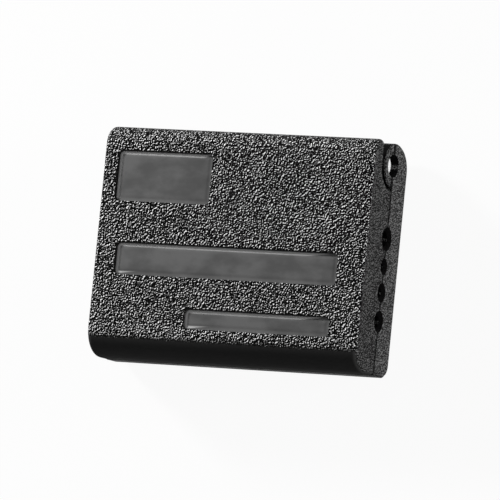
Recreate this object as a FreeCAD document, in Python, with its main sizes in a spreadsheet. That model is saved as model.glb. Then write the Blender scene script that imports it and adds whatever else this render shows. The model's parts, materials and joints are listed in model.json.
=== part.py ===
import FreeCAD, Part

import os
import re

import Sketcher
from FreeCAD import Rotation, Vector

# Loose tube slitter: two hinged plastic half shells close around a fibre tube, and steel blades in
# both halves slit the tube along its length as it is pulled through one of four channels.
#
# X runs along the tube, +Y towards the hinge edge, +Z out of the front (thick) shell. The origin is
# on the rear shell's back face, at the middle of the closed tool. Inside each piece, heights start at
# the free edge and depths at the parting plane, and its placement moves it there. All in millimetres.

SIZES = {
    # whole tool
    "body_length": 58.0,
    "rear_depth": 6.5,
    "front_depth": 9.0,
    "face_relief": 0.2,
    "top_front_round": 3.5,
    "bottom_front_round": 5.5,
    "front_end_round": 1.0,
    "top_back_round": 5.2,
    "bottom_back_round": 2.5,
    "rear_end_chamfer": 0.4,
    # hinge
    "hinge_inset": 4.45,
    "hinge_gap": 0.2,
    "hinge_wall": 5.15,
    "hinge_lip": 2.0,
    "hinge_corner_round": 0.8,
    "middle_knuckle_radius": 4.3,
    "end_knuckle_radius": 4.4,
    "end_knuckle_set_back": 0.9,
    "end_knuckle_length": 12.0,
    "knuckle_face_step": 0.15,
    "pin_diameter": 4.4,
    "pin_recess": 1.5,
    "pin_chamfer": 0.4,
    "pin_clearance": 0.05,
    # channels, widest first, with the webs between them
    "channel_1_bore": 3.4,
    "channel_2_bore": 2.0,
    "channel_3_bore": 2.5,
    "channel_4_bore": 3.0,
    "web_1": 2.7,
    "web_2": 2.75,
    "web_3": 2.85,
    "mouth_flare": 0.75,
    "mouth_depth": 1.2,
    "mouth_set_back": 0.3,
    # blade cassette and the plate behind it
    "free_wall": 2.65,
    "cassette_width": 12.0,
    "cassette_depth": 3.4,
    "cassette_land": 1.0,
    "cassette_corner": 0.8,
    "cassette_clearance": 0.1,
    "cassette_relief": 0.2,
    "ear_length": 5.2,
    "ear_depth": 1.5,
    "tongue_length": 1.5,
    "tongue_depth": 1.2,
    "tongue_width": 8.0,
    "plate_depth": 0.8,
    # blades
    "blade_thickness": 0.5,
    "blade_foot_length": 8.4,
    "blade_foot_height": 0.6,
    "blade_edge_length": 6.0,
    "blade_slope_length": 1.8,
    "blade_slope_drop": 0.6,
    "blade_bevel_height": 0.55,
    "blade_reach": 0.45,
    "slot_clearance": 0.05,
    # cassette screw and the insert that it turns in
    "screw_diameter": 2.0,
    "screw_head_diameter": 3.8,
    "screw_head_sink": 0.15,
    "screw_length": 4.3,
    "screw_hole_clearance": 0.1,
    "screw_recess_span": 2.0,
    "screw_recess_width": 0.4,
    "screw_recess_depth": 0.7,
    "insert_diameter": 3.2,
    "insert_length": 3.0,
    # locating pins at the free edge
    "dowel_diameter": 2.0,
    "dowel_seat": 3.5,
    "dowel_height": 2.4,
    "dowel_chamfer": 0.4,
    "dowel_clearance": 0.2,
    "dowel_hole_spare": 0.6,
    "dowel_spread": 44.0,
    "dowel_inset": 4.3,
    # sunken smooth panels of the front face, each from the nearest edges of the tool
    "panel_depth": 0.4,
    "panel_corner": 0.9,
    "badge_left": 3.4,
    "badge_width": 20.3,
    "badge_top": 4.95,
    "badge_height": 9.8,
    "title_left": 4.8,
    "title_right": 5.6,
    "title_bottom": 15.95,
    "title_height": 6.2,
    "strip_right": 6.1,
    "strip_width": 31.0,
    "strip_bottom": 6.05,
    "strip_height": 3.8,
}

CHANNELS = ("channel_1", "channel_2", "channel_3", "channel_4")
FULL_TURN = 360
COUNTERSINK = 45
NEAR = 0.01

# lengths and depths that several pieces share, as formulas of the sizes
END = "body_length / 2"
KNUCKLE_FROM = "(body_length / 2 - end_knuckle_length)"
NOTCH_FROM = "(body_length / 2 - end_knuckle_length - hinge_gap)"
NOTCH_RADIUS = "(hinge_inset + hinge_gap)"
SCREW_HEAD_DEPTH = f"((screw_head_diameter - screw_diameter) / 2 / tan({COUNTERSINK}))"

# heights above the free edge, in the order in which they follow each other up to the hinge edge
EAR_LOW = "(free_wall + cassette_clearance)"
BLOCK_LOW = f"({EAR_LOW} + ear_length)"
PLACE = {"channel_4": f"({BLOCK_LOW} + cassette_land + channel_4_bore / 2)"}
for upper, lower in ((3, 4), (2, 3), (1, 2)):
    below = PLACE[f"channel_{lower}"]
    step = f"channel_{lower}_bore / 2 + web_{upper} + channel_{upper}_bore / 2"
    PLACE[f"channel_{upper}"] = f"({below} + {step})"
BLOCK_HIGH = f"({PLACE['channel_1']} + channel_1_bore / 2 + cassette_land)"
TONGUE_HIGH = f"({BLOCK_HIGH} + tongue_length)"
AXIS = f"({TONGUE_HIGH} + cassette_clearance + hinge_wall + hinge_gap + hinge_inset)"
HEIGHT = f"({AXIS} + hinge_inset)"
SCREW_PLACE = f"({EAR_LOW} + ear_length / 2)"

doc = FreeCAD.newDocument("loose_tube_slitter")
sheet = doc.addObject("Spreadsheet::Sheet", "Sizes")
for row, (alias, number) in enumerate(SIZES.items(), start=1):
    sheet.set(f"A{row}", alias)
    sheet.set(f"B{row}", str(number))
    sheet.setAlias(f"B{row}", alias)
doc.recompute()


def bound(formula):
    """The formula with each size's name pointing at its cell of the sheet."""
    return re.sub(rf"\b({'|'.join(SIZES)})\b", r"Sizes.\1", formula)


def size(formula):
    """The formula's present value."""
    found = sheet.evalExpression(bound(formula))
    return float(getattr(found, "Value", found))


def new_body(label, across="0", up="0", flipped=False):
    """An empty body on the parting plane, so far across and up from the middle of the free edge.

    A flipped body is turned over about Y, so that what is drawn for the rear half serves the front one.
    """
    body = doc.addObject("PartDesign::Body", label)
    body.Label = label
    if flipped:
        body.Placement.Rotation = Rotation(Vector(0, 1, 0), FULL_TURN / 2)
    place = {"x": across, "y": f"{up} - {HEIGHT} / 2", "z": "rear_depth"}
    for letter, formula in place.items():
        body.setExpression(f"Placement.Base.{letter}", bound(formula))
    return body


def new_sketch(body, name, role, offset="0"):
    """A sketch on one of the body's own planes, moved along that plane's normal."""
    plane = next(item for item in body.Origin.OriginFeatures if item.Role == role)
    sketch = body.newObject("Sketcher::SketchObject", name)
    sketch.AttachmentSupport = [(plane, "")]
    sketch.MapMode = "FlatFace"
    sketch.setExpression("AttachmentOffset.Base.z", bound(offset))
    return sketch


def hold_point(sketch, line, end, across, up):
    """Hold a point of the sketch at two distances from the sketch's origin."""
    for kind, formula in (("DistanceX", across), ("DistanceY", up)):
        rule = Sketcher.Constraint(kind, -1, 1, line, end, size(formula))
        number = sketch.addConstraint(rule)
        sketch.setExpression(f"Constraints[{number}]", bound(formula))


def draw_outline(sketch, corners):
    """A closed outline of straight sides, with each corner as two formulas."""
    first = sketch.GeometryCount
    points = [Vector(size(across), size(up), 0) for across, up in corners]
    for here, there in zip(points, points[1:] + points[:1]):
        sketch.addGeometry(Part.LineSegment(here, there))
    for turn, (across, up) in enumerate(corners):
        line = first + turn
        before = first + (turn - 1) % len(corners)
        sketch.addConstraint(Sketcher.Constraint("Coincident", before, 2, line, 1))
        hold_point(sketch, line, 1, across, up)


def draw_rectangle(sketch, left, right, low, high):
    """A rectangle between four formulas."""
    draw_outline(sketch, ((left, low), (right, low), (right, high), (left, high)))


def draw_circle(sketch, across, up, radius):
    """A circle with its centre and radius as formulas."""
    centre = Vector(size(across), size(up), 0)
    number = sketch.addGeometry(Part.Circle(centre, Vector(0, 0, 1), size(radius)))
    hold_point(sketch, number, 3, across, up)
    rule = sketch.addConstraint(Sketcher.Constraint("Radius", number, size(radius)))
    sketch.setExpression(f"Constraints[{rule}]", bound(radius))


def extrude(body, kind, name, sketch, length, centred=False, backwards=False, taper=None):
    """Pad or pocket a sketch by a length given as a formula."""
    feature = body.newObject("PartDesign::" + kind, name)
    feature.Profile = sketch
    feature.setExpression("Length", bound(length))
    feature.SideType = "Symmetric" if centred else "One side"
    feature.Reversed = backwards
    if taper:
        feature.setExpression("TaperAngle", bound(taper))
    body.Tip = feature
    doc.recompute()
    return feature


def spin(body, name, corners, role="XZ_Plane", axis="V_Axis"):
    """A turned solid from a half outline whose corners are (radius, height) or (length, radius)."""
    sketch = new_sketch(body, name + "_outline", role)
    draw_outline(sketch, corners)
    feature = body.newObject("PartDesign::Revolution", name)
    feature.Profile = sketch
    feature.ReferenceAxis = (sketch, [axis])
    feature.Angle = FULL_TURN
    doc.recompute()
    return feature


def lies(edge, test):
    """Do both ends and the middle of an edge pass the test?"""
    middle = edge.valueAt((edge.FirstParameter + edge.LastParameter) / 2)
    return all(test(point) for point in [vertex.Point for vertex in edge.Vertexes] + [middle])


def same(one, other):
    """Are two lengths as good as equal?"""
    return abs(one - other) < NEAR


def dress(body, kind, name, amount, wanted, unwanted=lambda point: False):
    """Fillet or chamfer the edges that lie where one test says and not where the other does."""
    base = body.Tip
    names = [
        f"Edge{number}"
        for number, edge in enumerate(base.Shape.Edges, start=1)
        if lies(edge, wanted) and not lies(edge, unwanted)
    ]
    feature = body.newObject("PartDesign::" + kind, name)
    feature.Base = (base, names)
    feature.setExpression("Radius" if kind == "Fillet" else "Size", bound(amount))
    doc.recompute()
    return feature


def dress_ends(body, kind, name, amount, split):
    """Round or chamfer the rim of both end faces, all but the edge along the parting face."""
    end, level = size(END), size(split)
    on_end = lambda point: same(abs(point.x), end)
    on_split = lambda point: same(point.z, level)
    return dress(body, kind, name, amount, on_end, on_split)


def break_corners(body, name, amount, corners, deep, shallow):
    """Chamfer the upright edges at the corners given as (across, up), between two depths."""
    spots = [(size(across), size(up)) for across, up in corners]
    low, high = size(deep) - NEAR, size(shallow) + NEAR
    at_corner = lambda point: (
        any(same(abs(point.x), x) and same(point.y, y) for x, y in spots) and low < point.z < high
    )
    return dress(body, "Chamfer", name, amount, at_corner)


def pocket_circles(body, name, role, offset, circles, depth, **options):
    """Pocket a set of circles, each (across, up, radius), from a plane at an offset."""
    sketch = new_sketch(body, name + "_outline", role, offset)
    for circle in circles:
        draw_circle(sketch, *circle)
    return extrude(body, "Pocket", name, sketch, depth, **options)


def pocket_rectangle(body, name, role, offset, sides, depth, **options):
    """Pocket a rectangle, given as (left, right, low, high), from a plane at an offset."""
    sketch = new_sketch(body, name + "_outline", role, offset)
    draw_rectangle(sketch, *sides)
    return extrude(body, "Pocket", name, sketch, depth, **options)


def cut_channels(body, half_length, spare):
    """Four channels along X in the parting plane, wider than their bores by a spare all round."""
    bores = [(PLACE[c], "0", f"{c}_bore / 2 + {spare}") for c in CHANNELS]
    length = f"2 * ({half_length})"
    pocket_circles(body, "channels", "YZ_Plane", "0", bores, length, centred=True)


def cut_mouths(body, back):
    """The cones that lead a tube into both ends of a shell, centred a little in the other shell."""
    centre = f"{back} mouth_set_back"
    mouths = [(PLACE[c], centre, f"{c}_bore / 2 + mouth_flare") for c in CHANNELS]
    taper = "-atan(mouth_flare / mouth_depth)"
    for name, way in (("right_mouths", ""), ("left_mouths", "-")):
        options = {"backwards": bool(way), "taper": taper}
        pocket_circles(body, name, "YZ_Plane", way + END, mouths, "mouth_depth", **options)


def cut_hinge_notch(body, name, offset, length, side, **options):
    """Room for the other half's knuckle: a round about the hinge axis, opened to the hinge edge."""
    ring = [(AXIS, "0", NOTCH_RADIUS)]
    pocket_circles(body, name + "_round", "YZ_Plane", offset, ring, length, **options)
    sides = (AXIS, f"{AXIS} + 2 * {NOTCH_RADIUS}", "0", f"{side} {NOTCH_RADIUS}")
    pocket_rectangle(body, name + "_opening", "YZ_Plane", offset, sides, length, **options)


def cut_cassette_seat(body, side, front):
    """The pocket for plate and cassette, the shelf for its ear, the slot for its tongue."""
    spare = "cassette_clearance"
    half = f"(cassette_width / 2 + {spare})"
    deep = (f"-{half}", half, f"{BLOCK_LOW} - {spare}", f"{BLOCK_HIGH} + {spare}")
    shelf = (f"-{half}", half, f"{EAR_LOW} - {spare}", BLOCK_LOW)
    narrow = f"(tongue_width / 2 + {spare})"
    slot = (f"-{narrow}", narrow, BLOCK_HIGH, f"{TONGUE_HIGH} + {spare}")
    roof = f"{side} (cassette_depth - tongue_depth - {spare})"
    way = {"backwards": front}
    floor = "cassette_depth + plate_depth"
    pocket_rectangle(body, "cassette_pocket", "XY_Plane", "0", deep, floor, **way)
    pocket_rectangle(body, "ear_shelf", "XY_Plane", "0", shelf, "ear_depth", **way)
    slot_depth = f"tongue_depth + {spare}"
    pocket_rectangle(body, "tongue_slot", "XY_Plane", roof, slot, slot_depth, **way)
    insert = [("0", SCREW_PLACE, "insert_diameter / 2")]
    hole_depth = "ear_depth + insert_length"
    pocket_circles(body, "insert_hole", "XY_Plane", "0", insert, hole_depth, **way)


def make_front_shell():
    """The thick half: rounded casing with sunken panels, the middle knuckle and end notches."""
    body = new_body("front_shell")
    sketch = new_sketch(body, "casing_outline", "YZ_Plane")
    draw_rectangle(sketch, "0", HEIGHT, "face_relief", "front_depth")
    extrude(body, "Pad", "casing", sketch, "body_length", centred=True)
    top = size("front_depth")
    for name, edge, amount in (
        ("top_round", size(HEIGHT), "top_front_round"),
        ("bottom_round", 0, "bottom_front_round"),
    ):
        dress(body, "Fillet", name, amount, lambda p: same(p.y, edge) and same(p.z, top))
    dress_ends(body, "Fillet", "end_rounds", "front_end_round", "face_relief")

    length = "end_knuckle_length + hinge_gap"
    for name, way in (("right_notch", ""), ("left_notch", "-")):
        cut_hinge_notch(body, name, way + NOTCH_FROM, length, "", backwards=not way)
    crest, brink = size(HEIGHT), size(NOTCH_RADIUS)
    at_brink = lambda point: same(point.y, crest) and same(point.z, brink)
    dress(body, "Fillet", "hinge_corners", "hinge_corner_round", at_brink)
    sketch = new_sketch(body, "knuckle_outline", "YZ_Plane")
    draw_circle(sketch, AXIS, "0", "middle_knuckle_radius")
    extrude(body, "Pad", "knuckle", sketch, f"2 * {NOTCH_FROM}", centred=True)
    bore = [(AXIS, "0", "pin_diameter / 2 + pin_clearance")]
    pocket_circles(body, "pin_bore", "YZ_Plane", "0", bore, "body_length", centred=True)

    cut_channels(body, END, "0")
    cut_mouths(body, "-")
    cut_cassette_seat(body, "", True)
    radius = "dowel_diameter / 2 + dowel_clearance"
    holes = [(way + "dowel_spread / 2", "dowel_inset", radius) for way in ("", "-")]
    depth = "dowel_height + dowel_hole_spare"
    pocket_circles(body, "dowel_holes", "XY_Plane", "0", holes, depth, backwards=True)
    cut_panels(body)
    return body


def cut_panels(body):
    """The three smooth panels sunk in the front face, with rounded corners."""
    panels = {
        "badge_panel": (
            f"badge_left - {END}",
            f"badge_left + badge_width - {END}",
            f"{HEIGHT} - badge_top - badge_height",
            f"{HEIGHT} - badge_top",
        ),
        "title_panel": (
            f"title_left - {END}",
            f"{END} - title_right",
            "title_bottom",
            "title_bottom + title_height",
        ),
        "strip_panel": (
            f"{END} - strip_right - strip_width",
            f"{END} - strip_right",
            "strip_bottom",
            "strip_bottom + strip_height",
        ),
    }
    top = size("front_depth")
    floor = size("front_depth - panel_depth")
    for name, sides in panels.items():
        pocket_rectangle(body, name, "XY_Plane", "front_depth", sides, "panel_depth")
        left, right, low, high = (size(side) for side in sides)
        at_corner = lambda point: (
            (same(point.x, left) or same(point.x, right))
            and (same(point.y, low) or same(point.y, high))
            and floor - NEAR < point.z < top + NEAR
        )
        dress(body, "Fillet", name + "_corners", "panel_corner", at_corner)


def make_rear_shell():
    """The thin half: flat back, two end knuckles that hold the pin, and a notch between them."""
    body = new_body("rear_shell")
    sketch = new_sketch(body, "casing_outline", "YZ_Plane")
    crest = f"{AXIS} + end_knuckle_radius"
    corners = (
        ("0", "-rear_depth"),
        (crest, "-rear_depth"),
        (crest, "-end_knuckle_set_back"),
        (AXIS, "-end_knuckle_set_back"),
        (AXIS, "-face_relief"),
        ("0", "-face_relief"),
    )
    draw_outline(sketch, corners)
    extrude(body, "Pad", "casing", sketch, "body_length", centred=True)
    for name, way in (("right_knuckle", ""), ("left_knuckle", "-")):
        sketch = new_sketch(body, name + "_outline", "YZ_Plane", way + KNUCKLE_FROM)
        draw_circle(sketch, AXIS, "-end_knuckle_set_back", "end_knuckle_radius")
        extrude(body, "Pad", name, sketch, "end_knuckle_length", backwards=bool(way))
    back = -size("rear_depth")
    for name, edge, amount in (
        ("top_round", size(crest), "top_back_round"),
        ("bottom_round", 0, "bottom_back_round"),
    ):
        dress(body, "Fillet", name, amount, lambda p: same(p.y, edge) and same(p.z, back))
    dress_ends(body, "Chamfer", "end_chamfers", "rear_end_chamfer", "-face_relief")

    middle = f"2 * {KNUCKLE_FROM}"
    cut_hinge_notch(body, "notch", "0", middle, "-", centred=True)
    sides = (f"{AXIS} + hinge_lip", f"{AXIS} + 2 * {NOTCH_RADIUS}", "0", "-rear_depth")
    pocket_rectangle(body, "lip", "YZ_Plane", "0", sides, middle, centred=True)
    bore = [(AXIS, "0", "pin_diameter / 2")]
    pocket_circles(body, "pin_bore", "YZ_Plane", "0", bore, "body_length", centred=True)
    cut_channels(body, END, "0")
    cut_mouths(body, "")
    cut_cassette_seat(body, "-", False)
    holes = [(way + "dowel_spread / 2", "dowel_inset", "dowel_diameter / 2") for way in ("", "-")]
    pocket_circles(body, "dowel_holes", "XY_Plane", "0", holes, "dowel_seat")
    reach = "2 * end_knuckle_radius"
    sides = (f"{AXIS} - {reach}", f"{AXIS} + {reach}", "0", reach)
    for name, way in (("right_step", ""), ("left_step", "-")):
        options = {"backwards": bool(way)}
        pocket_rectangle(body, name, "YZ_Plane", way + END, sides, "knuckle_face_step", **options)
    return body


def make_hinge_pin():
    """A plain steel pin with chamfered ends, pressed in the end knuckles."""
    body = new_body("hinge_pin", up=AXIS)
    reach = f"({END} - pin_recess)"
    radius = "pin_diameter / 2"
    corners = (
        (f"-{reach}", "0"),
        (reach, "0"),
        (reach, f"{radius} - pin_chamfer"),
        (f"{reach} - pin_chamfer", radius),
        (f"-{reach} + pin_chamfer", radius),
        (f"-{reach}", f"{radius} - pin_chamfer"),
    )
    spin(body, "pin", corners, axis="H_Axis")
    return body


def make_cassette(half, flipped):
    """The block that carries the blades: channels, blade slots, a screwed ear and a tongue."""
    body = new_body(f"{half}_blade_cassette", flipped=flipped)
    side = "cassette_width / 2"
    block = new_sketch(body, "block_outline", "XY_Plane")
    draw_rectangle(block, f"-{side}", side, BLOCK_LOW, BLOCK_HIGH)
    extrude(body, "Pad", "block", block, "cassette_depth", backwards=True)
    ear = new_sketch(body, "ear_outline", "XY_Plane")
    draw_rectangle(ear, f"-{side}", side, EAR_LOW, BLOCK_HIGH)
    extrude(body, "Pad", "ear", ear, "ear_depth", backwards=True)
    tongue = new_sketch(body, "tongue_outline", "XY_Plane", "-cassette_depth")
    narrow = "tongue_width / 2"
    draw_rectangle(tongue, f"-{narrow}", narrow, BLOCK_LOW, TONGUE_HIGH)
    extrude(body, "Pad", "tongue", tongue, "tongue_depth")
    corners = ((side, EAR_LOW), (side, BLOCK_HIGH))
    break_corners(body, "corners", "cassette_corner", corners, "-cassette_depth", "0")

    cut_channels(body, side, "cassette_relief")
    slots = new_sketch(body, "blade_slots_outline", "XY_Plane")
    feet = new_sketch(body, "foot_slots_outline", "XY_Plane", "-cassette_depth")
    wide = "(blade_thickness / 2 + slot_clearance)"
    edge = "(blade_edge_length / 2 + slot_clearance)"
    foot = "(blade_foot_length / 2 + slot_clearance)"
    for channel in CHANNELS:
        low, high = f"{PLACE[channel]} - {wide}", f"{PLACE[channel]} + {wide}"
        draw_rectangle(slots, f"-{edge}", edge, low, high)
        draw_rectangle(feet, f"-{foot}", foot, low, high)
    extrude(body, "Pocket", "blade_slots", slots, "cassette_depth")
    extrude(body, "Pocket", "foot_slots", feet, "blade_foot_height", backwards=True)

    shank = "screw_diameter / 2 + screw_hole_clearance"
    rim = "screw_head_diameter / 2 + screw_head_sink"
    pocket_circles(body, "screw_hole", "XY_Plane", "0", [("0", SCREW_PLACE, shank)], "ear_depth")
    sink, depth = [("0", SCREW_PLACE, rim)], f"({rim} - ({shank})) / tan({COUNTERSINK})"
    pocket_circles(body, "head_sink", "XY_Plane", "0", sink, depth, taper=f"-{COUNTERSINK}")
    return body


def make_plate(half, flipped):
    """The thin steel plate behind the cassette, which keeps the blades in their slots."""
    body = new_body(f"{half}_backing_plate", flipped=flipped)
    side = "cassette_width / 2"
    sketch = new_sketch(body, "plate_outline", "XY_Plane", "-cassette_depth")
    draw_rectangle(sketch, f"-{side}", side, BLOCK_LOW, BLOCK_HIGH)
    extrude(body, "Pad", "plate", sketch, "plate_depth", backwards=True)
    corners = ((side, BLOCK_LOW), (side, BLOCK_HIGH))
    deep = "-cassette_depth - plate_depth"
    break_corners(body, "corners", "cassette_corner", corners, deep, "-cassette_depth")
    return body


def blade_outline(channel, sunk):
    """A blade's side view, with its cutting edge lowered by a formula."""
    back = "-cassette_depth"
    shoulder = "blade_foot_height - cassette_depth"
    tip = f"blade_reach - {channel}_bore / 2 - {sunk}"
    slope = f"{tip} - blade_slope_drop"
    foot, edge = "blade_foot_length / 2", "blade_edge_length / 2"
    crest = f"({edge} - blade_slope_length)"
    return (
        (f"-{foot}", back),
        (foot, back),
        (foot, shoulder),
        (edge, shoulder),
        (edge, slope),
        (crest, tip),
        (f"-{crest}", tip),
        (f"-{edge}", slope),
        (f"-{edge}", shoulder),
        (f"-{foot}", shoulder),
    )


def make_blade(half, channel, flipped):
    """One blade: a foot kept under the cassette, and a tip bevelled to a sharp middle line."""
    label = f"{half}_blade_{channel[-1]}"
    body = new_body(label, up=PLACE[channel], flipped=flipped)
    layers = []
    for name, offset, sunk in (
        ("near_side", "-blade_thickness / 2", "blade_bevel_height"),
        ("sharp_middle", "0", "0"),
        ("far_side", "blade_thickness / 2", "blade_bevel_height"),
    ):
        sketch = new_sketch(body, name, "XZ_Plane", offset)
        draw_outline(sketch, blade_outline(channel, sunk))
        layers.append(sketch)
    feature = body.newObject("PartDesign::AdditiveLoft", "blade")
    feature.Profile = layers[0]
    feature.Sections = layers[1:]
    feature.Ruled = True
    doc.recompute()
    return body


def make_screw(half, flipped):
    """The countersunk cassette screw with its cross recess."""
    body = new_body(f"{half}_cassette_screw", up=SCREW_PLACE, flipped=flipped)
    head, shank = "screw_head_diameter / 2", "screw_diameter / 2"
    crown, tip = "-screw_head_sink", "-screw_head_sink - screw_length"
    neck = f"-screw_head_sink - {SCREW_HEAD_DEPTH}"
    corners = (("0", tip), (shank, tip), (shank, neck), (head, crown), ("0", crown))
    spin(body, "screw", corners)
    long, short = "screw_recess_span / 2", "screw_recess_width / 2"
    for name, across, up in (("recess", long, short), ("cross_recess", short, long)):
        sides = (f"-{across}", across, f"-{up}", up)
        pocket_rectangle(body, name, "XY_Plane", crown, sides, "screw_recess_depth")
    return body


def make_insert(half, flipped):
    """The brass sleeve set in the shell for the cassette screw."""
    body = new_body(f"{half}_insert", up=SCREW_PLACE, flipped=flipped)
    inner, outer = "screw_diameter / 2", "insert_diameter / 2"
    top, tip = "-ear_depth", "-ear_depth - insert_length"
    spin(body, "sleeve", ((inner, tip), (outer, tip), (outer, top), (inner, top)))
    return body


def make_dowel(name, across):
    """A steel locating pin pressed in the rear shell, with a chamfered nose."""
    body = new_body(name, across=across, up="dowel_inset")
    radius = "dowel_diameter / 2"
    corners = (
        ("0", "-dowel_seat"),
        (radius, "-dowel_seat"),
        (radius, "dowel_height - dowel_chamfer"),
        (f"{radius} - dowel_chamfer", "dowel_height"),
        ("0", "dowel_height"),
    )
    spin(body, "dowel", corners)
    return body


def make_locating_pins():
    """The two locating pins, as one node."""
    pins = [make_dowel("left_pin", "-dowel_spread / 2"), make_dowel("right_pin", "dowel_spread / 2")]
    pair = doc.addObject("Part::Compound", "locating_pins")
    pair.Label = "locating_pins"
    pair.Links = pins
    return pair


nodes = [make_rear_shell(), make_front_shell(), make_hinge_pin(), make_locating_pins()]
for half, flipped in (("rear", False), ("front", True)):
    for make in (make_cassette, make_plate, make_screw, make_insert):
        nodes.append(make(half, flipped))
    for channel in CHANNELS:
        nodes.append(make_blade(half, channel, flipped))

doc.recompute()
for item in doc.Objects:
    if "Invalid" in item.State or "Error" in item.State:
        raise RuntimeError(f"{item.Name} failed")
for node in nodes:
    if node.Shape.isNull() or not node.Shape.isValid() or not node.Shape.Solids:
        raise RuntimeError(f"{node.Label} has no sound solid")

os.makedirs("parts", exist_ok=True)
for node in nodes:
    node.Shape.exportStep(f"parts/{node.Label}.step")
    print(f"{node.Label}: {len(node.Shape.Solids)} solid(s), {node.Shape.Volume:.1f} mm3")
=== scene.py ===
import json
import math

import bpy
from mathutils import Matrix, Vector

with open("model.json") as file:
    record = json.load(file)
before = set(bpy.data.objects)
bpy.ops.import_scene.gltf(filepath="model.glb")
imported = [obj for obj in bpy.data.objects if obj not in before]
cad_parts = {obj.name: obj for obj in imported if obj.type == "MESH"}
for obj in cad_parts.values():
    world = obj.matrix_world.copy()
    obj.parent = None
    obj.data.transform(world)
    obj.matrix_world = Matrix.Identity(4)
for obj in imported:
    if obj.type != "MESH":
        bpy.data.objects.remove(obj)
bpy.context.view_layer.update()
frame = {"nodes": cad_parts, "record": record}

# The loose tube slitter's looks: finishes for its shells and inner parts, a pale floor, soft studio
# light and the photograph's view. Metres, in the same frame as the solids: X along the tube, +Y to
# the hinge edge, +Z out of the front shell. Finishes are drawn in millimetres of the piece itself.

MM = 0.001

# the photograph's view: angles, then metres and pixels
YAW = math.radians(26.48)
PITCH = math.radians(-5.24)
ROLL = math.radians(-5.69)
CAMERA_DISTANCE = 1.5
PIXELS_PER_METRE = 5152
IMAGE_SIDE = 500
SENSOR = 0.036
ORIGIN_RIGHT_OF_CENTRE = 13.9
ORIGIN_BELOW_CENTRE = 6.2
NEAREST_SEEN = 0.1
FARTHEST_SEEN = 10.0

# places on the shells, in millimetres
FACE_LEVEL = 15.5
PANEL_LEVEL = 15.1
LEVEL_MARGIN = 0.05
PARTING_LEVEL = 6.5
GRAIN_END = -18.65
GRAIN_FADE = 0.9
EDGE_FADE = 0.3
# where the grain's painted highlights grow brighter, low down on the face
LOW_GLINT_BAND = (-18.0, -14.0)
SKIN_X = 28.0
SKIN_Y = 22.0
SKIN_FADE = 0.3
SEAM_REACH = (0.2, 0.45)
MOUTH_START = (20.0, 25.0)

# the sunken panels' left, right, lower and upper limits and their corners, in millimetres
PANELS = (
    (-25.6, -5.3, 7.75, 17.55),
    (-24.2, 23.4, -6.55, -0.35),
    (-8.1, 22.9, -16.45, -12.65),
)
PANEL_CORNER = 0.9

# distances from a panel's outline in millimetres, below 0 inside it
RIM_RISE = (-0.9, -0.45)
RIM_FALL = (-0.1, 0.0)
SHADE_RISE = (-0.1, 0.05)
SHADE_FALL = (0.1, 0.25)
CROWN_FALL = (-1.3, 0.0)

# the crown's height in millimetres, where a panel's upper left half begins, as a share of its
# size, the painted highlight rim's strength in the other half, and the power that narrows the rim.
# The upper left half, the side the light falls from, has the full rim and the painted shade
CROWN_HEIGHT = 0.12
UPPER_LEFT = (0.0, 0.1)
LOWER_RIGHT_RIM = 0.18
RIM_SHARPNESS = 1.6

# how squarely a spot faces along an axis, from 0 to 1: where a mask starts and stops changing
FACE_FACING = (0.02, 0.08)
SIDE_FACING = (0.65, 0.75)
LEATHER_FACING = (0.1, 0.4)
ROUND_FACING = (0.1, 0.95)
PANEL_FACING = (0.98, 0.999)
END_FACING = (0.5, 0.9)
SEAM_FACING = (0.4, 0.6)
INNER_FLAT_FACING = (0.97, 0.99)

# the face's leather-like grain: sizes, step and relief in millimetres, spread as a difference of
# noise, the power that sharpens the painted highlights on its sides toward the step, and their
# strength on the rounds and low down. The step points to the upper left, where the light falls from
LEATHER_SIZE = 0.29
LEATHER_STEP = (-0.15, 0.15, 0.0)
LEATHER_SPREAD = 0.27
LEATHER_RELIEF = 0.33
LEATHER_SHARPNESS = 15.0
LEATHER_ON_ROUND = 0.3
LEATHER_LOW_GLINT = 1.6
WANDER_SIZE = 0.9

# the fine grain of the other faces of both shells, in the same terms, and its stretch
FINE_STRETCH = (1.0, 1.0, 0.75)
FINE_SIZE = 0.3
FINE_STEP = (0.09, 0.08, 0.09)
FINE_SPREAD = 0.14
FINE_RELIEF = 0.1
FINE_SHARPNESS = 3.0

# the turn of both grains' noise out of line with the part's faces, in radians
ASKEW = (0.6, 0.4, 0.7)

# greys of the nylon: a pair goes from its darkest spots to its lightest
# the leather-like grain runs from painted shade to painted highlights
LEATHER_SHADE_AND_HIGHLIGHT_GREYS = (0.0005, 0.85)
# the fine grains run from painted shade to painted light on their sides
FRONT_FINE_GREYS = (0.001, 0.08)
REAR_FINE_GREYS = (0.001, 0.12)
PANEL_GREYS = (0.105, 0.155)
# the rims are a painted highlight along the panels' edges
RIM_GREY = 0.75
SMOOTH_EDGE_GREY = 0.035
# painted shade: the narrow line at the panels' upper left and the line where the shells part
PAINTED_SHADE_GREY = 0.001
CLOUD_GREY = 0.02
# painted shade on the inner grain's sides
INNER_DARK_GREY = 0.001
INNER_FLAT_GREY = 0.11
CHANNEL_GREY = 0.05
# painted shade near the ends of the channels, mouths and hinge hole
MOUTH_SHADE_GREY = 0.003

# roughness and gloss of the nylon
END_ROUGHNESS = 0.55
SMOOTH_EDGE_ROUGHNESS = 0.9
LEATHER_ROUGHNESS = 0.5
PANEL_ROUGHNESS = (0.34, 0.44)
REAR_ROUGHNESS = (0.5, 0.6)
INSIDE_ROUGHNESS = 0.95
FRONT_SPECULAR = 0.02
REAR_SPECULAR = 0.04

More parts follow.
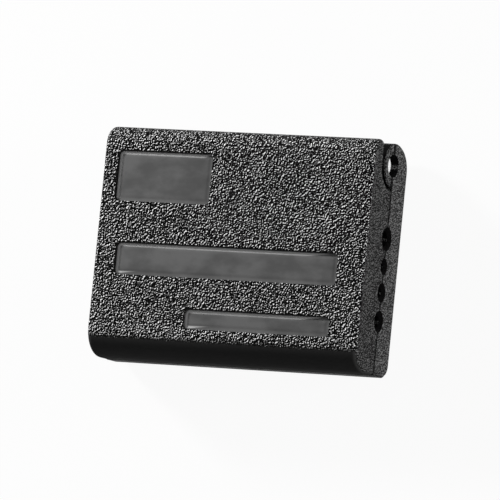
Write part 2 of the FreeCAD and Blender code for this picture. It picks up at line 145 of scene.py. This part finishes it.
# the slower patterns of nylon, metal and floor: the parts of a noise's range that carry them,
# their sizes and relief in millimetres, their stretch, the share that the clouds have in the
# rear shell's colour, and how far wear changes a metal's roughness
NOISE_RANGE = (0.3, 0.7)
RUBBED_RANGE = (0.35, 0.65)
RUBBED_SIZE = 5.0
RUBBED_STRETCH = (0.7, 1.1, 1.0)
CLOUD_SIZE = 6.0
CLOUD_SHARE = 0.15
BRUSHED_STRETCH = (0.04, 1.0, 1.0)
BRUSHED_WEAR_SIZE = 3.0
BRUSHED_WEAR = (-0.05, 0.07)
MOTTLE_SIZE = 0.5
MOTTLE_RELIEF = 0.004
TURNED_WEAR_SIZE = 1.5
TURNED_WEAR = (-0.06, 0.08)

# the floor and the surround: side and gap in metres, speckle in millimetres
FLOOR_SIDE = 3.0
FLOOR_GAP = 0.05 * MM
FLOOR_GREYS = (0.80, 0.82)
FLOOR_SPECKLE = 40.0
FLOOR_WHITENESS = 0.94
SURROUND_LIGHT = 0.12

# each lamp's name, direction, distance, side of its square in metres, and radiance
LAMPS = (
    ("key", (-0.75, 0.5, 0.36), 0.7, 0.12, 160.0),
    ("softbox", (-0.5, 0.25, 0.85), 0.9, 0.6, 0.6),
    ("side", (1.0, 0.15, 0.09), 0.8, 0.12, 150.0),
)


def grey(level):
    """A neutral colour of that level."""
    return (level, level, level, 1)


class Nodes:
    """A node tree: each method adds a node or a few and gives back their output."""

    def __init__(self, tree):
        self.tree = tree

    def put(self, value, socket):
        """Give an input a value, or link it to another node's output."""
        if isinstance(value, bpy.types.NodeSocket):
            self.tree.links.new(value, socket)
        else:
            socket.default_value = value

    def add(self, kind, inputs=None, **settings):
        """One node, given back itself."""
        node = self.tree.nodes.new(kind)
        for name, value in settings.items():
            setattr(node, name, value)
        for name, value in (inputs or {}).items():
            self.put(value, node.inputs[name])
        return node

    def maths(self, operation, *values):
        """An operation on one or two numbers."""
        return self.add("ShaderNodeMath", dict(enumerate(values)), operation=operation).outputs[0]

    def chain(self, operation, first, *others):
        """Numbers joined one after another by an operation."""
        for other in others:
            first = self.maths(operation, first, other)
        return first

    def product(self, *values):
        return self.chain("MULTIPLY", *values)

    def largest(self, *values):
        return self.chain("MAXIMUM", *values)

    def less(self, value, other):
        return self.maths("SUBTRACT", value, other)

    def magnitude(self, value):
        return self.maths("ABSOLUTE", value)

    def rest(self, share):
        """What a share leaves of 1."""
        return self.less(1.0, share)

    def ramp(self, value, low, high, at_low=0.0, at_high=1.0):
        """A smooth step of a value, from one number to another."""
        inputs = {0: value, 1: low, 2: high, 3: at_low, 4: at_high}
        return self.add("ShaderNodeMapRange", inputs, interpolation_type="SMOOTHSTEP").outputs[0]

    def fall(self, value, low, high):
        """A smooth step down, from 1 to 0."""
        return self.ramp(value, low, high, 1.0, 0.0)

    def mix(self, share, one, other):
        """One number or the other, by a share."""
        return self.add("ShaderNodeMix", {0: share, 2: one, 3: other}, data_type="FLOAT").outputs[0]

    def tint(self, share, one, other):
        """One colour or the other, by a share."""
        inputs = {0: share, 6: one, 7: other}
        return self.add("ShaderNodeMix", inputs, data_type="RGBA").outputs[2]

    def greys(self, share, dark, light):
        """A grey between two levels, by a share."""
        return self.tint(share, grey(dark), grey(light))

    def in_view(self):
        """1 for what the camera, gloss or glass shows, and 0 for light on its way to a surface."""
        path = self.add("ShaderNodeLightPath").outputs
        return self.largest(path["Is Camera Ray"], path["Is Glossy Ray"], path["Is Transmission Ray"])


class Shader(Nodes):
    """A material's nodes, with each spot's place in millimetres and the way it faces."""

    def __init__(self, name):
        self.material = bpy.data.materials.new(name)
        self.material.use_nodes = True
        super().__init__(self.material.node_tree)
        self.tree.nodes.clear()
        self.surface = self.add("ShaderNodeOutputMaterial").inputs["Surface"]
        where = self.add("ShaderNodeTexCoord")
        scale = {0: where.outputs["Object"], "Scale": 1 / MM}
        self.place = self.add("ShaderNodeVectorMath", scale, operation="SCALE").outputs[0]
        self.x, self.y, self.z = self.add("ShaderNodeSeparateXYZ", {0: self.place}).outputs
        normal = self.add("ShaderNodeSeparateXYZ", {0: where.outputs["Normal"]})
        self.facing_x, self.facing_y, self.facing_z = normal.outputs

    def stretched(self, along, across, out):
        """The place, with each direction scaled by its own factor."""
        scale = {0: self.place, 1: (along, across, out)}
        return self.add("ShaderNodeVectorMath", scale, operation="MULTIPLY").outputs[0]

    def askew(self, place):
        """A place turned out of line with the part's faces, so that no noise is cut squarely."""
        turn = {"Vector": place, "Rotation": ASKEW}
        return self.add("ShaderNodeVectorRotate", turn, rotation_type="EULER_XYZ").outputs[0]

    def noise(self, size, detail, place=None):
        """Cloudy noise whose lumps are about so many millimetres across."""
        inputs = {"Vector": place or self.place, "Scale": 1 / size, "Detail": detail}
        return self.add("ShaderNodeTexNoise", inputs).outputs["Fac"]

    def bump(self, height, depth, before=None):
        """Normals for a height from 0 to 1 that stands for so many millimetres."""
        inputs = {"Height": height, "Distance": depth * MM, "Strength": 1.0}
        if before:
            inputs["Normal"] = before
        return self.add("ShaderNodeBump", inputs).outputs[0]

    def finish(self, colour, roughness, normal, **constants):
        """The finished material; constants are set on the shader's own sockets."""
        inputs = {"Base Color": colour, "Roughness": roughness, "Normal": normal}
        inputs.update({name.replace("_", " "): value for name, value in constants.items()})
        self.put(self.add("ShaderNodeBsdfPrincipled", inputs).outputs[0], self.surface)
        return self.material


def crinkles(nodes, place, size, step, spread, detail):
    """Moulded crinkles of even width: their height, and how far each spot falls along the step, which
    the colours use as painted light and shade on the crinkles' sides.
    """
    moved = nodes.add("ShaderNodeVectorMath", {0: place, 1: step}, operation="ADD").outputs[0]
    height = nodes.noise(size, detail, nodes.askew(place))
    beyond = nodes.noise(size, detail, nodes.askew(moved))
    return height, nodes.ramp(nodes.less(height, beyond), -spread, spread)


def fine_grain(nodes):
    """The spark-eroded grain of the plain faces of both shells: height, and the slope whose colour is
    painted light and shade on its sides.
    """
    place = nodes.stretched(*FINE_STRETCH)
    return crinkles(nodes, place, FINE_SIZE, FINE_STEP, FINE_SPREAD, detail=1.0)


def skin(nodes, outwards):
    """Where a shell's outside is: its face and rounds, its ends and its top and bottom edges."""
    parts = [nodes.ramp(nodes.product(nodes.facing_z, outwards), *FACE_FACING)]
    for facing, place, start in (
        (nodes.facing_x, nodes.x, SKIN_X),
        (nodes.facing_y, nodes.y, SKIN_Y),
    ):
        straight = nodes.ramp(nodes.magnitude(facing), *SIDE_FACING)
        out = nodes.ramp(nodes.magnitude(place), start, start + SKIN_FADE)
        parts.append(nodes.product(straight, out))
    return nodes.largest(*parts)


def panel_edge(nodes, left, right, low, high):
    """One panel's painted highlight rim, full at its upper left, the narrow painted shade at its upper
    left, and its crowned top.
    """
    across = nodes.less(nodes.x, (left + right) / 2)
    up = nodes.less(nodes.y, (low + high) / 2)
    half_width = (right - left) / 2
    half_height = (high - low) / 2

    # the distance from a rectangle with round corners
    out_x = nodes.less(nodes.magnitude(across), half_width - PANEL_CORNER)
    out_y = nodes.less(nodes.magnitude(up), half_height - PANEL_CORNER)
    beyond = {0: nodes.largest(out_x, 0.0), 1: nodes.largest(out_y, 0.0)}
    corner = nodes.add("ShaderNodeCombineXYZ", beyond).outputs[0]
    reach = nodes.add("ShaderNodeVectorMath", {0: corner}, operation="LENGTH").outputs["Value"]
    within = nodes.maths("MINIMUM", nodes.largest(out_x, out_y), 0.0)
    distance = nodes.less(nodes.maths("ADD", reach, within), PANEL_CORNER)

    slant_up = nodes.maths("DIVIDE", up, half_height)
    slant_across = nodes.maths("DIVIDE", across, half_width)
    # the upper left half, the side the light falls from
    upper_left = nodes.ramp(nodes.less(slant_up, slant_across), *UPPER_LEFT)
    rim = nodes.product(nodes.ramp(distance, *RIM_RISE), nodes.fall(distance, *RIM_FALL))
    rim = nodes.product(rim, nodes.mix(upper_left, LOWER_RIGHT_RIM, 1.0))
    shade = nodes.product(nodes.ramp(distance, *SHADE_RISE), nodes.fall(distance, *SHADE_FALL))
    shade = nodes.product(shade, upper_left)
    return rim, shade, nodes.fall(distance, *CROWN_FALL)


def panel_edges(nodes):
    """The painted highlight rims, painted shades and crowns of all panels."""
    edges = [panel_edge(nodes, *panel) for panel in PANELS]
    return [nodes.largest(*alike) for alike in zip(*edges)]


def seam(nodes):
    """How near each spot of the outside is to the line where the shells part, where the colours put a
    line of painted shade.
    """
    away = nodes.magnitude(nodes.less(nodes.z, PARTING_LEVEL))
    upright = nodes.fall(nodes.magnitude(nodes.facing_z), *SEAM_FACING)
    return nodes.product(nodes.fall(away, *SEAM_REACH), upright)


def inner_tone(nodes, slope):
    """The inside's colour: grained flats, and near black in the channels, mouths and hinge hole:
    painted shade on the grain's sides, and painted shade that darkens the channels further towards the
    ends.
    """
    flats = nodes.ramp(nodes.magnitude(nodes.facing_z), *INNER_FLAT_FACING)
    # painted shade that darkens the channels towards the ends
    mouth_shade = nodes.ramp(nodes.magnitude(nodes.x), *MOUTH_START)
    strongest = nodes.greys(mouth_shade, CHANNEL_GREY, MOUTH_SHADE_GREY)
    strongest = nodes.tint(flats, strongest, grey(INNER_FLAT_GREY))
    return nodes.tint(slope, grey(INNER_DARK_GREY), strongest)


def rear_nylon():
    """Black nylon with a fine even grain all over: the grain's colour is painted light and shade on
    its sides, with painted shade along the parting line and inside the ends.
    """
    nodes = Shader("rear_nylon")
    height, slope = fine_grain(nodes)
    cloud = nodes.noise(CLOUD_SIZE, detail=3)
    # painted light and shade on the fine grain's sides
    tone = nodes.greys(nodes.maths("POWER", slope, FINE_SHARPNESS), *REAR_FINE_GREYS)
    clouded = nodes.ramp(cloud, *NOISE_RANGE, 0.0, CLOUD_SHARE)
    colour = nodes.tint(clouded, tone, grey(CLOUD_GREY))
    # painted shade along the line where the shells part
    colour = nodes.tint(seam(nodes), colour, grey(PAINTED_SHADE_GREY))
    outside = skin(nodes, -1.0)
    colour = nodes.tint(outside, inner_tone(nodes, slope), colour)
    outer_roughness = nodes.ramp(cloud, *NOISE_RANGE, *REAR_ROUGHNESS)
    roughness = nodes.mix(outside, INSIDE_ROUGHNESS, outer_roughness)
    normal = nodes.bump(height, FINE_RELIEF)
    return nodes.finish(colour, roughness, normal, Specular_IOR_Level=REAR_SPECULAR)


def front_places(nodes):
    """How far each spot is on a panel, on the leather-like grain and on the smooth free edge."""
    ragged = nodes.product(nodes.noise(WANDER_SIZE, detail=2), GRAIN_FADE)
    above = nodes.ramp(nodes.maths("ADD", nodes.y, ragged), GRAIN_END, GRAIN_END + GRAIN_FADE)
    facing = nodes.ramp(nodes.facing_z, *LEATHER_FACING)
    flat = nodes.ramp(nodes.facing_z, *PANEL_FACING)
    low = nodes.fall(nodes.z, PANEL_LEVEL + LEVEL_MARGIN, FACE_LEVEL - LEVEL_MARGIN)
    panel = nodes.product(flat, low)
    leather = nodes.product(facing, above, nodes.rest(panel))
    edge = nodes.fall(nodes.y, GRAIN_END - EDGE_FADE, GRAIN_END + EDGE_FADE)
    on_end = nodes.ramp(nodes.magnitude(nodes.facing_x), *END_FACING)
    return panel, leather, nodes.product(edge, nodes.rest(on_end))


def leather_tone(nodes, slope):
    """The leather-like grain's colour: painted highlights on its sides toward the step and painted
    shade between them, fainter on the rounds, stronger low down.
    """
    over_round = nodes.ramp(nodes.facing_z, *ROUND_FACING, LEATHER_ON_ROUND, 1.0)
    low_glint = nodes.ramp(nodes.y, *LOW_GLINT_BAND, LEATHER_LOW_GLINT, 1.0)
    lit = nodes.product(nodes.maths("POWER", slope, LEATHER_SHARPNESS), over_round, low_glint)
    return nodes.greys(lit, *LEATHER_SHADE_AND_HIGHLIGHT_GREYS)


def front_nylon():
    """Black nylon: leather-like grain on the face, smooth sunken panels and free edge, fine ends."""
    nodes = Shader("front_nylon")
    panel, on_leather, smooth = front_places(nodes)
    on_fine = nodes.product(nodes.rest(on_leather), nodes.rest(smooth), nodes.rest(panel))
    rim, shade, crown = panel_edges(nodes)
    # painted shade at the panels' upper left, where the grain gives way
    on_leather = nodes.product(on_leather, nodes.rest(shade))
    leather, leather_slope = crinkles(
        nodes, nodes.place, LEATHER_SIZE, LEATHER_STEP, LEATHER_SPREAD, detail=0.0
    )
    fine, fine_slope = fine_grain(nodes)

    normal = nodes.bump(nodes.product(fine, on_fine), FINE_RELIEF)
    normal = nodes.bump(nodes.product(leather, on_leather), LEATHER_RELIEF, normal)
    normal = nodes.bump(nodes.product(crown, panel), CROWN_HEIGHT, normal)

    rubbed = nodes.noise(RUBBED_SIZE, detail=4, place=nodes.stretched(*RUBBED_STRETCH))
    panel_tone = nodes.greys(nodes.ramp(rubbed, *RUBBED_RANGE), *PANEL_GREYS)
    # a painted highlight along the panels' rims
    rim_highlight = nodes.maths("POWER", rim, RIM_SHARPNESS)
    panel_tone = nodes.tint(rim_highlight, panel_tone, grey(RIM_GREY))

    # painted light and shade on the fine grain's sides
    colour = nodes.greys(nodes.maths("POWER", fine_slope, FINE_SHARPNESS), *FRONT_FINE_GREYS)
    colour = nodes.tint(smooth, colour, grey(SMOOTH_EDGE_GREY))
    # painted highlights and painted shade on the leather-like grain's sides
    colour = nodes.tint(on_leather, colour, leather_tone(nodes, leather_slope))
    # painted shade at the panels' upper left
    colour = nodes.tint(shade, colour, grey(PAINTED_SHADE_GREY))
    colour = nodes.tint(panel, colour, panel_tone)
    # painted shade along the line where the shells part
    colour = nodes.tint(seam(nodes), colour, grey(PAINTED_SHADE_GREY))
    outside = skin(nodes, 1.0)
    colour = nodes.tint(outside, inner_tone(nodes, fine_slope), colour)

    roughness = nodes.mix(smooth, END_ROUGHNESS, SMOOTH_EDGE_ROUGHNESS)
    roughness = nodes.mix(on_leather, roughness, LEATHER_ROUGHNESS)
    panel_roughness = nodes.ramp(rubbed, *NOISE_RANGE, *PANEL_ROUGHNESS)
    roughness = nodes.mix(panel, roughness, panel_roughness)
    roughness = nodes.mix(outside, INSIDE_ROUGHNESS, roughness)
    return nodes.finish(colour, roughness, normal, Specular_IOR_Level=FRONT_SPECULAR)


def metal(nodes, pattern, light, dark, wear, wear_change, roughness, relief):
    """A metal whose pattern shows in its colour and relief, with uneven wear."""
    colour = nodes.tint(nodes.ramp(pattern, *NOISE_RANGE), dark, light)
    least, most = wear_change
    uneven = nodes.ramp(wear, *NOISE_RANGE, roughness + least, roughness + most)
    return nodes.finish(colour, uneven, nodes.bump(pattern, relief), Metallic=1.0)


def brushed(name, light, dark, size, roughness, relief):
    """Metal with fine lines along the tube's direction."""
    nodes = Shader(name)
    lines = nodes.noise(size, detail=3, place=nodes.stretched(*BRUSHED_STRETCH))
    wear = nodes.noise(BRUSHED_WEAR_SIZE, detail=2)
    return metal(nodes, lines, light, dark, wear, BRUSHED_WEAR, roughness, relief)


def turned(name, light, dark, roughness):
    """Metal with a faint mottle."""
    nodes = Shader(name)
    mottle = nodes.noise(MOTTLE_SIZE, detail=4)
    wear = nodes.noise(TURNED_WEAR_SIZE, detail=2)
    return metal(nodes, mottle, light, dark, wear, TURNED_WEAR, roughness, MOTTLE_RELIEF)


def floor_material():
    """Pale matt floor: near white in view, and it keeps the tool's shadow."""
    nodes = Shader("floor_pale")
    speckle = nodes.ramp(nodes.noise(FLOOR_SPECKLE, detail=3), *NOISE_RANGE)
    paint = nodes.greys(speckle, *FLOOR_GREYS)
    matt = nodes.add("ShaderNodeBsdfDiffuse", {"Color": paint}).outputs[0]
    glow = nodes.add("ShaderNodeEmission", {"Color": grey(1.0), "Strength": 1.0}).outputs[0]
    share = nodes.product(nodes.in_view(), FLOOR_WHITENESS)
    nodes.put(nodes.add("ShaderNodeMixShader", {0: share, 1: matt, 2: glow}).outputs[0], nodes.surface)
    return nodes.material


def make_floor():
    """A large flat floor just under the tool's back face."""
    half = FLOOR_SIDE / 2
    mesh = bpy.data.meshes.new("floor")
    plan = ((-half, -half), (half, -half), (half, half), (-half, half))
    mesh.from_pydata([(x, y, -FLOOR_GAP) for x, y in plan], [], [(0, 1, 2, 3)])
    mesh.materials.append(floor_material())
    floor = bpy.data.objects.new("floor", mesh)
    bpy.context.scene.collection.objects.link(floor)


def make_world():
    """An even surround: white in view, and dim as a light."""
    world = bpy.data.worlds.new("surround")
    world.use_nodes = True
    nodes = Nodes(world.node_tree)
    background = world.node_tree.nodes["Background"]
    nodes.put(grey(1.0), background.inputs["Color"])
    nodes.put(nodes.mix(nodes.in_view(), SURROUND_LIGHT, 1.0), background.inputs["Strength"])
    bpy.context.scene.world = world


def make_lamp(name, direction, distance, side, radiance):
    """A square lamp that faces the tool and shines as brightly as a wall of that radiance."""
    lamp = bpy.data.lights.new(name, "AREA")
    lamp.size = side
    lamp.energy = radiance * math.pi * side**2
    place = bpy.data.objects.new(name, lamp)
    aim = Vector(direction).normalized()
    place.location = aim * distance
    place.rotation_mode = "QUATERNION"
    place.rotation_quaternion = aim.to_track_quat("Z", "Y")
    bpy.context.scene.collection.objects.link(place)


def make_camera():
    """The photograph's camera: a long lens, turned, tipped and rolled from straight above."""
    turn = Matrix.Rotation(-YAW, 3, "Y")
    tip = Matrix.Rotation(PITCH, 3, "X")
    roll = Matrix.Rotation(ROLL, 3, "Z")
    view = roll @ tip @ turn
    data = bpy.data.cameras.new("camera")
    data.sensor_width = SENSOR / MM
    data.lens = SENSOR / MM * PIXELS_PER_METRE * CAMERA_DISTANCE / IMAGE_SIDE
    data.clip_start = NEAREST_SEEN
    data.clip_end = FARTHEST_SEEN
    camera = bpy.data.objects.new("camera", data)
    right = -ORIGIN_RIGHT_OF_CENTRE / PIXELS_PER_METRE
    up = ORIGIN_BELOW_CENTRE / PIXELS_PER_METRE
    back = view.transposed()
    place = back @ Vector((right, up, CAMERA_DISTANCE))
    camera.matrix_world = Matrix.Translation(place) @ back.to_4x4()
    bpy.context.scene.collection.objects.link(camera)
    bpy.context.scene.camera = camera


# the finish of each material slot; the two shells share one slot, so they go by their names.
# A metal has a name, a light and a dark colour and its roughness; a brushed one also has the
# size of its lines, before the roughness, and their relief, after it, in millimetres.
FINISHES = {
    "rear_shell": rear_nylon(),
    "front_shell": front_nylon(),
    "cassette": brushed("cassette_aluminium", grey(0.42), grey(0.32), 0.12, 0.6, 0.01),
    "plate": brushed("plate_steel", grey(0.5), grey(0.4), 0.15, 0.38, 0.008),
    "blade": brushed("blade_steel", grey(0.66), grey(0.5), 0.1, 0.26, 0.006),
    "screw": turned("screw_steel", grey(0.5), grey(0.36), 0.32),
    "insert": turned("insert_brass", (0.75, 0.55, 0.24, 1), (0.58, 0.4, 0.16, 1), 0.35),
    "pin": brushed("pin_steel", grey(0.8), grey(0.7), 0.2, 0.7, 0.003),
}
slots = {part["node"]: part["material_slot"] for part in frame["record"]["subparts"]}
for name, node in frame["nodes"].items():
    finish = FINISHES[name if name in FINISHES else slots[name]]
    for slot in node.material_slots:
        slot.material = finish

make_floor()
make_world()
for lamp in LAMPS:
    make_lamp(*lamp)
make_camera()
bpy.context.scene.view_settings.view_transform = "Standard"
